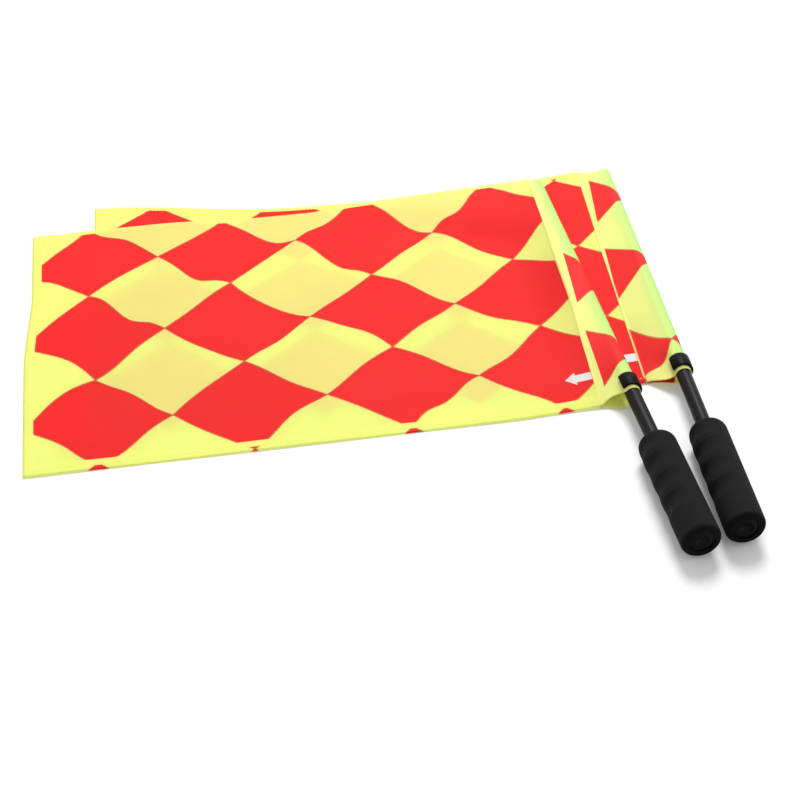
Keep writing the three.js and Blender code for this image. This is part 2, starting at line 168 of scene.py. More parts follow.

# How far the print lies from a plain lattice at the places (column, row) where diamonds touch,
# in millimetres to the right and up, read from the photo
FRONT_SHIFTS = {
    (-7, 0): (0, -24), (-7, 2): (3.6, -6), (-7, 4): (2.6, -3.5),
    (-6, -1): (5.4, -5), (-4, -1): (1, -12.6), (-2, -1): (6, -3), (0, -1): (-2, -2),
    (-5, 0): (1.6, -4.2), (-3, 0): (0.4, 0.6), (-1, 0): (-1.2, -11.2), (1, 0): (-1, -11),
    (-6, 1): (0.4, -0.4), (-4, 1): (-1.6, 1.4), (-2, 1): (-3.4, -9.8), (0, 1): (-1.6, -11.8),
    (-5, 2): (-1.4, 0.6), (-3, 2): (-3, -6.2), (-1, 2): (-3, -11.2), (1, 2): (-1, -6),
    (-6, 3): (-0.6, -7.2), (-4, 3): (-3, -2.2), (-2, 3): (-4, -6.4), (0, 3): (-0.8, 0),
    (-5, 4): (-4.8, -6.8), (-3, 4): (-5, -4.4), (-1, 4): (-3.6, 0), (1, 4): (0, 0),
    (-6, 5): (-4.4, 2.6), (-4, 5): (-8, -2.6), (-2, 5): (-7, 1.4), (0, 5): (-7, 3),
}
REAR_SHIFTS = {
    (-6, -1): (0, 6), (-4, -1): (-7, 3), (-6, 1): (2, 15), (-4, 1): (0.5, 9),
    (-2, 1): (-1, 13), (-6, 3): (6, 14), (-4, 3): (6, 15.5), (-2, 3): (5.6, 12.4),
    (0, -1): (0, 0), (0, 1): (1.4, 0), (0, 3): (5.4, 3.4), (1, 0): (0, 12),
    (1, 2): (0, 5), (1, 4): (0, 6),
}
FRONT_SLEEVE_SHIFTS = {
    (0, -1): (0, 0), (0, 1): (0, 0), (0, 3): (0, -5), (0, 5): (0, 1.4), (1, 0): (0, 0),
    (1, 2): (0, -4.5), (1, 4): (0, -4), (2, 1): (0, 0), (2, 3): (0, 0), (2, 5): (0, 0),
}
REAR_SLEEVE_SHIFTS = {
    (1, 0): (0, -8), (1, 2): (5, -6), (1, 4): (-5, -23), (0, -1): (0, 33), (0, 1): (2, 0),
    (0, 3): (1, -17), (0, 5): (-1.5, -31), (2, 1): (5, 0), (2, 3): (-3, 0), (2, 5): (-3, -36),
}
# How far the four sides of a diamond bow upwards, also read off: upper left, upper right,
# lower left and lower right, each at a quarter, half and three quarters of its way to the right.
# Keys are the column and row of the diamond's centre.
FRONT_BOWS = {
    (-6, 0): ((0, 0, 0), (0.5, 8, 7), (10, 15, 9.5), (3, 3.5, 2)),
    (-4, 0): ((-1, -2, -1.5), (-5, -14, -13), (-8, -15.5, -6.5), (0, 0, 0)),
    (-2, 0): ((1, -2, 3), (3, -6, -11), (-0.5, -14, -8), (0, 1, -0.5)),
    (0, 0): ((0, -8, -2.5), (-9, -6.5, -3), (6, 2, -1), (3, 6, 3)),
    (-6, 2): ((2, 2.5, 1), (0.5, -8.5, -1.5), (6, 11.5, 11.5), (-2.5, 1, 2)),
    (-4, 2): ((0, 1, 2), (-12, -15, -10.5), (-7, -7, -4.5), (-1, -3.5, -2)),
    (-2, 2): ((0, -1, -1), (7, 8, -1), (5, 7, 8.5), (2.5, 3, 0.5)),
    (0, 2): ((-2, -2, 0), (2, 0, 0), (-3.5, -3.5, 0), (-2.5, -3.5, -2)),
    (-6, 4): ((8, 11.5, 7.5), (1, 3, -1), (2, 1.5, -2.5), (-5.5, -3.5, 0)),
    (-4, 4): ((3, 3, 1.5), (0, -3, -2), (-2, -2, -1), (1.5, 6, 4)),
    (-2, 4): ((1, 3.5, 3), (2, 0, -3), (0, 0, 0), (4.5, -1, 1.5)),
    (0, 4): ((-3, -6, -2.5), (-7, -8, -4), (-2.5, -2.5, 0), (-2, 0, 0)),
}
REAR_SLEEVE_BOWS = {(0, 4): ((0, 0, 0), (7, 3, -2), (0, 0, 0), (4, 6, -5))}


def smooth_share(share):
    """A share from 0 to 1 that starts and ends smoothly."""
    held = np.clip(share, 0.0, 1.0)
    return held * held * (3.0 - 2.0 * held)


def mix(start, end, share):
    return start + (end - start) * share


def turned(first, second, angle):
    """Two coordinates after a turn from the first axis towards the second."""
    cos, sin = math.cos(angle), math.sin(angle)
    return first * cos - second * sin, first * sin + second * cos


class Print:
    """The printed lattice of one cloth, in lattice places s and t.

    The edges of the diamonds lie at whole numbers of s and of t, and a cell is red where its
    two lower whole numbers add up to an even one.
    """

    LOWEST = -10
    COUNT = 18

    def __init__(self, origin, pitch, shifts, bows=None):
        self.origin = origin
        self.pitch = pitch
        places = np.array(list(shifts), float)
        values = np.array(list(shifts.values()), float)
        self.shifts = np.zeros((self.COUNT, self.COUNT, 2))
        for i in range(self.COUNT):
            for j in range(self.COUNT):
                s, t = self.LOWEST + i, self.LOWEST + j
                gaps = (places[:, 0] - (s + t + 1)) ** 2 + (places[:, 1] - (s - t)) ** 2
                weights = 1.0 / (gaps + 1e-6) ** 2
                self.shifts[i, j] = weights @ values / weights.sum()
        self.bows_s = np.zeros((self.COUNT, self.COUNT, 3))
        self.bows_t = np.zeros((self.COUNT, self.COUNT, 3))
        for (column, row), sides in (bows or {}).items():
            s = (column + row - 2) // 2 - self.LOWEST
            t = (column - row - 2) // 2 - self.LOWEST
            upper_left, upper_right, lower_left, lower_right = sides
            self.bows_t[s, t] = upper_left
            self.bows_s[s, t + 1] = upper_right
            self.bows_s[s, t] = lower_left
            self.bows_t[s + 1, t] = lower_right

    @staticmethod
    def bow(quarters, share):
        """A smooth curve through the three quarter points, and through nothing at its ends."""
        first, middle, last = quarters[..., 0], quarters[..., 1], quarters[..., 2]
        outer = (first + last) / math.sqrt(2.0)
        turn = math.pi * share
        return ((outer + middle) / 2.0 * np.sin(turn) + (first - last) / 2.0 * np.sin(2.0 * turn)
                + (outer - middle) / 2.0 * np.sin(3.0 * turn))

    def cell(self, place):
        """The number of the cell that a place lies in, and how far it lies in it."""
        number = np.clip(np.floor(place).astype(int) - self.LOWEST, 0, self.COUNT - 2)
        return number, np.clip(place - (number + self.LOWEST), 0.0, 1.0)

    def shift(self, s, t):
        """How far the print lies from a plain lattice: to the right and up."""
        i, share_s = self.cell(s)
        j, share_t = self.cell(t)
        lower = mix(self.shifts[i, j], self.shifts[i + 1, j], share_s[..., None])
        upper = mix(self.shifts[i, j + 1], self.shifts[i + 1, j + 1], share_s[..., None])
        moved = mix(lower, upper, share_t[..., None])
        bowed = mix(self.bow(self.bows_t[i, j], share_t), self.bow(self.bows_t[i + 1, j], share_t),
                    share_s)
        bowed += mix(self.bow(self.bows_s[i, j], share_s), self.bow(self.bows_s[i, j + 1], share_s),
                     share_t)
        return moved[..., 0], moved[..., 1] + bowed

    def places(self, x, v):
        """Lattice places of points of the cloth: x to the right, v down from the far hem."""
        at_x, at_v = x, v
        for _ in range(PRINT_PASSES):
            s, t = self.plain(at_x, at_v)
            right, up = self.shift(s, t)
            at_x = mix(at_x, x - right, PRINT_EASE)
            at_v = mix(at_v, v + up, PRINT_EASE)
        return np.stack(self.plain(at_x, at_v), axis=-1)

    def plain(self, x, v):
        column = (x - self.origin[0]) / (DIAMOND_WIDTH / 2)
        row = (v - self.origin[1]) / (self.pitch / 2)
        return (column + row - 1.0) / 2.0, (column - row - 1.0) / 2.0


class Flag:
    """Where one flag lies, and how its cloth lies on what is below it.

    The own frame of a flag has its origin on the table under the tip, x across the stick to
    the right and y along the stick, away from the handle. The shape of the cloth is given by:
    past_tip, how far it reaches past the tip; fly_skew, fly_draw_in and fly_bulge, where the fly
    hem lies; lift, its height over the rear flag; far_dip, dip_starts and dip_ends, how the far
    hem sags; seam_far and seam_near, the angle and distance of the seam from the stick;
    neck, the angle of the clip's opening; far_tent, how it falls from the stick at the far hem;
    end_, the sleeve past the tip; mouth_lift, upper_reach and lower_reach, the near rim of the
    sleeve; band_, the fold edge of the sewn-down margin; margin_, its unprinted width.
    """

    def __init__(self, name, joint, **shape):
        self.name = name
        self.tip = np.array(JOINTS[joint]["pos_m"]) / MM
        axis = JOINTS[joint]["axis"]
        self.yaw = math.atan2(-axis[0], axis[1])
        self.slope = -axis[2] / math.hypot(axis[0], axis[1])
        self.tilt = math.atan(self.slope)
        self.__dict__.update(shape)
        self.mouth = self.past_tip - CLOTH_HEIGHT

    def opened(self, y):
        """1 at the mouth of the sleeve, and 0 well above it."""
        return 1.0 - smooth_share((y - self.mouth) / MOUTH_LENGTH)

    def axis_height(self, y):
        return self.tip[2] - np.minimum(0.0, y) * self.slope

    def place(self, points):
        """Own frame to the shared frame."""
        x, y, z = np.moveaxis(np.asarray(points, float), -1, 0)
        across, along = turned(x, y, self.yaw)
        return np.stack([self.tip[0] + across, self.tip[1] + along, z], axis=-1)

    def own(self, x, y):
        """Shared frame to the own frame, on the plane of the table."""
        return turned(x - self.tip[0], y - self.tip[1], -self.yaw)

    def stick_place(self, points):
        """Stick frame (tip at the origin, handle towards -y) to the shared frame."""
        x, y, z = np.moveaxis(np.asarray(points, float), -1, 0)
        along, height = turned(y, z, -self.tilt)
        return self.place(np.stack([x, along, height + self.tip[2]], axis=-1))

    def band_left(self, y):
        """The fold edge of the printed margin that is sewn down on the field."""
        return np.interp(-y, self.band_places, self.band_lefts)

    def seam(self, y):
        """The sewn line, where field and sleeve meet: x across and z up."""
        along = (self.past_tip - y) / CLOTH_HEIGHT
        start = self.seam_turn_start
        turn = np.clip((along - start) / (1.0 - start), 0.0, 1.0)
        angle = np.radians(mix(self.seam_far[0], self.seam_near[0], turn))
        distance = mix(self.seam_far[1], self.seam_near[1], turn ** 2)
        x = self.band_left(y) + STITCH_INSET
        past = smooth_share((y - self.past_tip + END_DROOP_LENGTH) / END_DROOP_LENGTH)
        return x, self.axis_height(y) + distance * np.sin(angle) - self.end_droop * past

    def ground(self, x, y):
        """Underside of the cloth where it lies spread out."""
        if self.name == "rear":
            return np.zeros_like(x)
        placed = self.place(np.stack([x, y, np.zeros_like(x)], axis=-1))
        rear_x, rear_y = REAR.own(placed[..., 0], placed[..., 1])
        past_fly = -CLOTH_WIDTH - rear_x
        past_near = REAR.mouth - REAR.fly_skew * rear_x / CLOTH_WIDTH - rear_y
        past = np.maximum(0.0, np.maximum(past_fly, past_near))
        cover = 1.0 - smooth_share(past / EDGE_DRAPE)
        folds = np.zeros_like(x)
        layout_x = placed[..., 0] - self.tip[0]
        layout_y = placed[..., 1] - self.tip[1]
        for wave in FOLD_WAVES:
            heading = math.radians(wave["heading"])
            along = layout_x * math.cos(heading) + layout_y * math.sin(heading)
            phase = 2.0 * math.pi * (along / wave["spacing"] + wave["start"])
            folds += wave["height"] * 0.5 * (1.0 + np.sin(phase))
        far = self.from_far(x, y)
        from_hem = np.minimum(np.minimum(far, CLOTH_HEIGHT - far), CLOTH_WIDTH + x)
        kept = mix(HEM_FOLD_SHARE, 1.0, smooth_share(from_hem / HEM_FLATTENS))
        return self.lift * cover + folds * kept

    def from_far(self, x, y):
        """Distance from the far hem, as if that hem were straight."""
        return self.past_tip - self.fly_skew * x / CLOTH_WIDTH - y

    def field_height(self, x, y):
        """Middle surface of the field at a place."""
        along = (self.past_tip - y) / CLOTH_HEIGHT
        seam_x, seam_z = self.seam(y)
        ground = self.ground(x, y) + CAD_CLOTH_THICKNESS / 2
        narrowed = smooth_share(along / FAR_TENT_SHARE)
        width = mix(self.far_tent_width, TENT_WIDTH, narrowed)
        power = mix(self.far_tent_power, TENT_POWER, narrowed)
        risen = np.clip(1.0 - (seam_x - x) / width, 0.0, 1.0) ** power
        return mix(ground, seam_z, risen)

    def field_points(self, along_share, across_share):
        """Own-frame points of the field, from the far hem to the near one and from the seam to
        the fly hem, and where the fly hem lies."""
        def ramp(share, limits):
            return smooth_share((share - limits[0]) / (limits[1] - limits[0]))

        dip = self.far_dip * ramp(across_share, self.dip_starts) * (1.0 - along_share)
        dip = dip * (1.0 - ramp(across_share, self.dip_ends))
        y = self.past_tip - CLOTH_HEIGHT * along_share + self.fly_skew * across_share - dip
        fly = self.fly_draw_in * (1.0 - along_share) ** DRAW_IN_POWER - CLOTH_WIDTH
        fly = fly - self.fly_bulge * ramp(along_share, FLY_BULGE_SHARES)
        seam_x = self.seam(y)[0]
        x = mix(seam_x, fly, across_share)
        near_seam = 1.0 - smooth_share((seam_x - x) / MOUTH_FADE)
        y = y + self.mouth_lift * near_seam * self.opened(y)
        return np.stack([x, y, self.field_height(x, y)], axis=-1), fly


REAR = Flag(
    "rear", "rear_swivel",
    past_tip=16.0, fly_skew=-4.0, fly_draw_in=0.0, fly_bulge=0.0, lift=0.0,
    far_dip=22.0, dip_starts=(-0.02, 0.34), dip_ends=(0.6, 1.0),
    seam_far=(199.0, 15.5), seam_near=(205.0, 29.0), seam_turn_start=0.0, neck=214.0,
    far_tent_width=TENT_WIDTH, far_tent_power=TENT_POWER, end_droop=0.0,
    end_flat_from=1.0, end_corner=13.0, mouth_lift=8.0, upper_reach=1.8, lower_reach=-2.5,
    band_places=(-16.0, 4.0, 72.0, 110.0, 150.0, 190.0, 230.0, 298.0),
    band_lefts=(-22.8, -23.0, -25.0, -26.4, -26.8, -27.6, -28.4, -29.0),
    margin_places=(-16.0, 4.0, 68.0, 115.0, 140.0, 170.0),
    margin_widths=(9.6, 9.0, 5.0, 3.6, 2.6, 1.0),
    field_print=Print(origin=(-46.0, 64.05), pitch=DIAMOND_HEIGHT, shifts=REAR_SHIFTS),
    sleeve_print=Print(origin=(-24.5, 41.0), pitch=101.0, shifts=REAR_SLEEVE_SHIFTS,
                       bows=REAR_SLEEVE_BOWS),
)
FRONT = Flag(
    "front", "front_swivel",
    past_tip=6.0, fly_skew=7.0, fly_draw_in=12.0, fly_bulge=6.0, lift=0.95,
    far_dip=6.5, dip_starts=(0.36, 0.46), dip_ends=(0.54, 0.76),
    seam_far=(100.0, 8.8), seam_near=(217.0, 20.5), seam_turn_start=0.25, neck=202.0,
    far_tent_width=190.0, far_tent_power=FAR_TENT_POWER, end_droop=6.0,
    end_flat_from=-1.0, end_corner=6.0, mouth_lift=3.0, upper_reach=-4.0, lower_reach=3.0,
    band_places=(-6.0, 32.0, 72.0, 132.0, 186.0, 236.0, 292.0, 316.0),
    band_lefts=(-8.0, -10.0, -12.0, -16.0, -18.0, -21.4, -24.0, -25.5),
    margin_places=(-6.0, 84.0, 112.0, 132.0, 186.0, 236.0, 292.0, 316.0),
    margin_widths=(22.0, 20.0, 9.0, 9.0, 6.0, 5.6, 7.6, 7.6),
    field_print=Print(origin=(-46.0, 48.65), pitch=DIAMOND_HEIGHT, shifts=FRONT_SHIFTS,
                      bows=FRONT_BOWS),
    sleeve_print=Print(origin=(-15.6, 47.5), pitch=107.0, shifts=FRONT_SLEEVE_SHIFTS),
)
FLAGS = (REAR, FRONT)
STICK_LENGTH = CLOTH_HEIGHT - FRONT.past_tip + BARE_STICK + GRIP_LENGTH
GRIP_START = STICK_LENGTH - GRIP_LENGTH
POLE_END = STICK_LENGTH - BUTT_RECESS - BUTT_HEAD - BUTT_STEM - STOP_FLANGE - 3 * RUNNING_GAP


def add_object(name, data):
    thing = bpy.data.objects.new(name, data)
    bpy.context.scene.collection.objects.link(thing)
    return thing


def make_object(name, points, faces, smooth=True):
    """A mesh object from points in millimetres."""
    mesh = bpy.data.meshes.new(name)
    points = np.asarray(points, float).reshape(-1, 3) * MM
    mesh.from_pydata(points.tolist(), [], [list(map(int, face)) for face in faces])
    mesh.polygons.foreach_set("use_smooth", [smooth] * len(mesh.polygons))
    mesh.update()
    return add_object(name, mesh)


def add_uv(thing, name, values):
    """A UV map from one pair of values for each vertex."""
    layer = thing.data.uv_layers.new(name=name)
    corners = np.empty(len(thing.data.loops), dtype=np.int32)
    thing.data.loops.foreach_get("vertex_index", corners)
    layer.data.foreach_set("uv", np.asarray(values, float)[corners].ravel())


def add_value(thing, name, values):
    """A number for each vertex, for its material to read."""
    layer = thing.data.attributes.new(name, "FLOAT", "POINT")
    layer.data.foreach_set("value", values)


def grid_faces(rows, columns, start=0, flip=False):
    faces = []
    for row in range(rows - 1):
        for column in range(columns - 1):
            a = start + row * columns + column
            b, c, d = a + 1, a + columns + 1, a + columns
            faces.append((a, d, c, b) if flip else (a, b, c, d))
    return faces


def grid_normals(points):
    """Unit normals of a grid of points, up for a grid whose rows run to -y and columns to -x."""
    along = np.gradient(points, axis=0)
    across = np.gradient(points, axis=1)
    normals = np.cross(across, along)
    length = np.linalg.norm(normals, axis=-1, keepdims=True)
    return normals / np.maximum(length, 1e-9)


def shell(name, middle, thickness, maps):
    """A closed thin sheet around a grid of points. maps holds UV values for the grid."""
    rows, columns = middle.shape[:2]
    normals = grid_normals(middle)
    half = np.broadcast_to(np.asarray(thickness, float), (rows, columns))[..., None] / 2
    upper = (middle + normals * half).reshape(-1, 3)
    lower = (middle - normals * half).reshape(-1, 3)
    count = rows * columns
    faces = grid_faces(rows, columns, 0, flip=True) + grid_faces(rows, columns, count)
    grid = np.arange(count).reshape(rows, columns)
    rim = np.concatenate([grid[0], grid[1:, -1], grid[-1, -2::-1], grid[-2:0:-1, 0]])
    for here, after in zip(rim, np.roll(rim, -1)):
        faces.append((here, after, count + after, count + here))
    thing = make_object(name, np.concatenate([upper, lower]), faces)
    for map_name, values in maps.items():
        flat = values.reshape(-1, 2)
        add_uv(thing, map_name, np.concatenate([flat, flat]))
    return thing


def make_field(flag):
    along_share, across_share = np.meshgrid(
        np.linspace(0.0, 1.0, FIELD_ROWS), np.linspace(0.0, 1.0, FIELD_COLUMNS), indexing="ij")
    own, fly = flag.field_points(along_share, across_share)
    x = own[..., 0]
    from_far = CLOTH_HEIGHT * along_share
    from_hem = np.minimum(np.minimum(from_far, CLOTH_HEIGHT - from_far), x - fly)
    doubled = 1.0 - smooth_share((from_hem - HEM_WIDTH) / HEM_STEP)
    own[..., 2] += HEM_THICKER / 2 * doubled
    maps = {
        "Print": flag.field_print.places(x, flag.from_far(x, own[..., 1])),
        "Cut": np.stack([(x - fly) * MM, from_far * MM], axis=-1),
    }
    field = shell(f"{flag.name}_cloth_field", flag.place(own),
                  CLOTH_THICKNESS + HEM_THICKER * doubled, maps)
    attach(field, f"{flag.name}_flag")
    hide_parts(f"{flag.name}_flag_field")
    return field


def bezier(points, count):
    """Points of a cubic curve, both ends included."""
    share = np.linspace(0.0, 1.0, count)[:, None]
    p0, p1, p2, p3 = [np.asarray(point, float)[None, :] for point in points]
    return ((1 - share) ** 3 * p0 + 3 * (1 - share) ** 2 * share * p1
            + 3 * (1 - share) * share ** 2 * p2 + share ** 3 * p3)


def sleeve_section(flag, y):
    """One cross-section of the sleeve as points (x, z) from the fold edge of the margin, over
    the stick, round it and back below to the seam."""
    centre = np.array([0.0, float(flag.axis_height(y))])
    seam_x, seam_z = [float(value) for value in flag.seam(y)]
    left = float(flag.band_left(y))
    clip_near = flag.mouth + CLIP_FROM_MOUTH
    clip_far = clip_near + CLIP_LENGTH
    aside = max(0.0, clip_near - y, y - clip_far)
    pinch = float(1.0 - smooth_share(aside / NECK_RUN_IN))
    overlay_x = np.linspace(left, seam_x, OVERLAY_STEPS)
    overlay_z = flag.field_height(overlay_x, np.full(OVERLAY_STEPS, y)) + OVERLAY_RISE
    overlay = np.stack([overlay_x, overlay_z], axis=-1)
    top_start = overlay[-1]
    end = np.array([seam_x, seam_z - OVERLAY_RISE])
    radius = SLEEVE_RADIUS

    def seen_from_axis(point):
        """The angle of a point, and how far round from there the ring is left towards it."""
        aim = point - centre
        leave = math.acos(min(1.0, radius / max(radius, float(np.hypot(*aim)))))
        return math.degrees(math.atan2(aim[1], aim[0])) % 360.0, math.degrees(leave)

    def on_ring(degrees):
        angle = math.radians(degrees)
        return centre + radius * np.array([math.cos(angle), math.sin(angle)])

    top_angle, leave_top = seen_from_axis(top_start)
    low_angle, leave_low = seen_from_axis(end)
    lip_top = flag.neck - CLIP_HALF_OPENING + CLIP_LIP_GAP
    lip_low = flag.neck + CLIP_HALF_OPENING - CLIP_LIP_GAP
    top = mix(top_angle - leave_top, lip_top, pinch)
    low = mix(low_angle + leave_low, lip_low, pinch)

    def span(start, degrees, way):
        """From the seam to the ring, meeting it along its tangent: way is 1 to go on round it
        clockwise and -1 for the other way."""
        goal = on_ring(degrees)
        angle = math.radians(degrees)
        tangent = way * np.array([math.sin(angle), -math.cos(angle)])
        reach = float(np.hypot(*(goal - start)))
        aim = (goal - start) / max(reach, 1e-6)
        return bezier([start, start + aim * reach / 3, goal - tangent * reach / 3, goal],
                      SPAN_STEPS)

    upper = span(top_start, top, 1)
    arc_angles = np.radians(np.linspace(top, low - 360.0, ARC_STEPS + 2)[1:-1])
    arc = centre + radius * np.stack([np.cos(arc_angles), np.sin(arc_angles)], axis=-1)
    lower = span(end, low, -1)[::-1]
    opened = float(flag.opened(y))
    ring_x, ring_z = lower[0]
    landed_x = mix(ring_x, end[0], MOUTH_LANDING_SHARE)
    table = float(flag.ground(np.array(landed_x), np.array(y))) + MOUTH_LOWEST
    early, late = [mix(ring_x, landed_x, share) for share in MOUTH_DROP_SHARES]
    landed = bezier([(ring_x, ring_z), (early, ring_z), (late, table), (landed_x, table)],
                    SPAN_STEPS // 2)
    early, late = [mix(landed_x, end[0], share) for share in MOUTH_RISE_SHARES]
    flat = bezier([(landed_x, table), (early, table), (late, table), end], SPAN_STEPS // 2 + 1)
    lower = mix(lower, np.concatenate([landed[:-1], flat]), opened)
    return np.concatenate([overlay[:-1], upper, arc, lower])


def flatten_end(flag, section, y):
    """Presses the free end of the sleeve flat past the stick, with a rounded corner."""
    pressed = float(smooth_share((y - flag.end_flat_from) / END_FLAT_LENGTH))
    x, z = section[:, 0].copy(), section[:, 1].copy()
    low = z.min()
    z = mix(z, low + (z - low) * END_FLAT_SHARE, pressed)
    beyond = max(0.0, y - (flag.past_tip - flag.end_corner))
    corner = flag.end_corner - math.sqrt(max(0.0, flag.end_corner ** 2 - beyond ** 2))
    reach = SLEEVE_RADIUS * (1.0 + END_WIDENS * pressed) - corner
    x = np.where(x > 0.0, x * reach / SLEEVE_RADIUS, x)
    return np.stack([x, z], axis=-1)


def sleeve_points(flag):
    """The whole sleeve as a grid of own-frame points, and how far each lies along the cloth."""
    share = np.linspace(0.0, 1.0, SPAN_STEPS)
    hump = np.sin(math.pi * share)
    lifted = flag.mouth_lift * (1.0 - smooth_share(share))
    rows = []
    runs = []
    for y in np.linspace(flag.past_tip, flag.mouth, SLEEVE_ROWS):
        section = sleeve_section(flag, y)
        steps = np.hypot(*np.diff(section, axis=0).T)
        runs.append(np.concatenate([[0.0], np.cumsum(steps)]))
        section = flatten_end(flag, section, y)
        moved = np.zeros(len(section))
        moved[:OVERLAY_STEPS] = flag.mouth_lift
        moved[OVERLAY_STEPS - 1:OVERLAY_STEPS - 1 + SPAN_STEPS] = lifted - flag.upper_reach * hump
        moved[-SPAN_STEPS:] = lifted[::-1] - flag.lower_reach * hump
        along = y + moved * float(flag.opened(y))
        rows.append(np.stack([section[:, 0], along, section[:, 1]], axis=-1))
    return np.array(rows), np.array(runs)


def make_sleeve(flag):
    own, run = sleeve_points(flag)
    y = own[..., 1]
    from_far = np.broadcast_to(np.linspace(0.0, CLOTH_HEIGHT, SLEEVE_ROWS)[:, None], y.shape)
    margin = np.interp(-y, flag.margin_places, flag.margin_widths)
    maps = {
        "Print": flag.sleeve_print.places(run, -y),
        "Cut": np.stack([(run - margin) * MM, from_far * MM], axis=-1),
    }
    maps = {name: values[:, ::-1] for name, values in maps.items()}
    sleeve = shell(f"{flag.name}_cloth_sleeve", flag.place(own)[:, ::-1], CLOTH_THICKNESS, maps)
    # Painted shade: a greener yellow on the sleeve's right side, standing in for how light falls on
    # the round sleeve; it fades out over the clip towards the mouth
    facing = smooth_share((own[..., 0] / SLEEVE_RADIUS + PAINTED_SHADE_START) / (1.0 + PAINTED_SHADE_START))
    facing = facing * smooth_share((y - flag.mouth - CLIP_FROM_MOUTH) / CLIP_LENGTH)
    add_value(sleeve, "Sleeve_painted_shade", np.tile(facing[:, ::-1].ravel(), 2))
    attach(sleeve, f"{flag.name}_flag")
    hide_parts(f"{flag.name}_pole_sleeve")
    return sleeve


def ring_faces(rows, segments, closed):
    """Quads between rows of points that each go once round."""
    faces = []
    for row in range(rows if closed else rows - 1):
        after = (row + 1) % rows
        for step in range(segments):
            nxt = (step + 1) % segments
            faces.append((row * segments + step, after * segments + step,
                          after * segments + nxt, row * segments + nxt))
    return faces


def even_places(path, pitch):
    """Points at an even pitch along a path, with the way it runs at each."""
    steps = np.linalg.norm(np.diff(path, axis=0), axis=1)
    run = np.concatenate([[0.0], np.cumsum(steps)])
    at = np.arange(pitch / 2, run[-1], pitch)

    def on_path(at):
        return np.stack([np.interp(at, run, part) for part in path.T], axis=-1)

    places = on_path(at)
    ways = on_path(at + LOOK_AHEAD) - places
    return places, ways / np.maximum(np.linalg.norm(ways, axis=1, keepdims=True), 1e-9)


def stitch_mesh(paths):
    """Sewn thread: one short arched stitch after another along each path on the cloth."""
    points = []
    faces = []
    rings = len(STITCH_RING_SHARES)
    sides = ring_faces(rings, STITCH_SIDES, False)
    last = (rings - 1) * STITCH_SIDES
    angles = np.linspace(0.0, 2.0 * math.pi, STITCH_SIDES, endpoint=False)
    for path in paths:
        places, ways = even_places(path, STITCH_PITCH)
        for place, way in zip(places, ways):
            side = np.cross(way, (0.0, 0.0, 1.0))
            side /= max(np.linalg.norm(side), 1e-9)
            up = np.cross(side, way)
            start = len(points)
            for reach, thick, rise in STITCH_RING_SHARES:
                middle = place + way * reach * STITCH_LENGTH / 2 + up * rise * THREAD_RADIUS
                for angle in angles:
                    spoke = side * math.cos(angle) + up * math.sin(angle)
                    points.append(middle + spoke * thick * THREAD_RADIUS)
            for a, b, c, d in sides:
                faces.append((start + a, start + d, start + c, start + b))
            faces.append([start + step for step in range(STITCH_SIDES - 1, -1, -1)])
            faces.append([start + last + step for step in range(STITCH_SIDES)])
    return points, faces


def make_stitching(flag):
    """Rows of stitches along the three hems and along the sewn-down margin."""
    share = np.linspace(0.0, 1.0, SEAM_STEPS)
    in_share = HEM_STITCH_IN / CLOTH_HEIGHT
    fly_share = 1.0 - HEM_STITCH_IN / (CLOTH_WIDTH + float(flag.band_left(-CLOTH_HEIGHT / 2)))
    hem_rise = np.array([0.0, 0.0, CLOTH_THICKNESS / 2 + HEM_THICKER])
    hems = [(in_share, share * fly_share), (1.0 - in_share, share * fly_share),
            (mix(in_share, 1.0 - in_share, share), fly_share)]
    paths = [flag.place(flag.field_points(along, across)[0] + hem_rise)
             for along, across in hems]
    y = mix(flag.past_tip - SEAM_END_GAP, flag.mouth + SEAM_END_GAP, share)
    x = flag.band_left(y) + BAND_STITCH_IN
    z = flag.field_height(x, y) + OVERLAY_RISE + CLOTH_THICKNESS / 2
    along = y + flag.mouth_lift * flag.opened(y)
    paths.append(flag.place(np.stack([x, along, z], axis=-1)))
    points, faces = stitch_mesh(paths)
    thread = make_object(f"{flag.name}_stitching", points, faces)
    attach(thread, f"{flag.name}_flag")
    return thread


def lathe(name, flag, profile, closed=True, segments=LATHE_SEGMENTS):
    """A piece round the stick axis from (radius, distance from the tip) points. A radius is one
    number or one for each segment."""
    angles = np.linspace(0.0, 2.0 * math.pi, segments, endpoint=False)
    rows = [np.stack([radius * np.cos(angles), np.full(segments, -place),
                      radius * np.sin(angles)], axis=-1) for radius, place in profile]
    return make_object(name, flag.stick_place(rows), ring_faces(len(rows), segments, closed))


def tidy_normals(thing, sharp_degrees=40.0):
    """Outward faces, with hard edges where the surface turns sharply."""
    work = bmesh.new()
    work.from_mesh(thing.data)
    bmesh.ops.remove_doubles(work, verts=work.verts, dist=1e-6)
    bmesh.ops.recalc_face_normals(work, faces=work.faces)
    work.to_mesh(thing.data)
    work.free()
    thing.data.set_sharp_from_angle(angle=math.radians(sharp_degrees))


def arc_points(centre, radius, start, end, count):
    angles = np.radians(np.linspace(start, end, count))
    return [(centre[0] + radius * math.cos(angle), centre[1] + radius * math.sin(angle))
            for angle in angles]


def make_pole(flag):
    outer = POLE_RADIUS
    inner = POLE_RADIUS - POLE_WALL
    profile = [(inner, POLE_START), (outer - POLE_EDGE, POLE_START),
               (outer, POLE_START + POLE_EDGE), (outer, POLE_END - POLE_EDGE),
               (outer - POLE_EDGE, POLE_END), (inner, POLE_END)]
    pole = lathe(f"{flag.name}_tube", flag, profile)
    tidy_normals(pole)
    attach(pole, f"{flag.name}_flag")
    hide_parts(f"{flag.name}_pole_tube")
    return pole


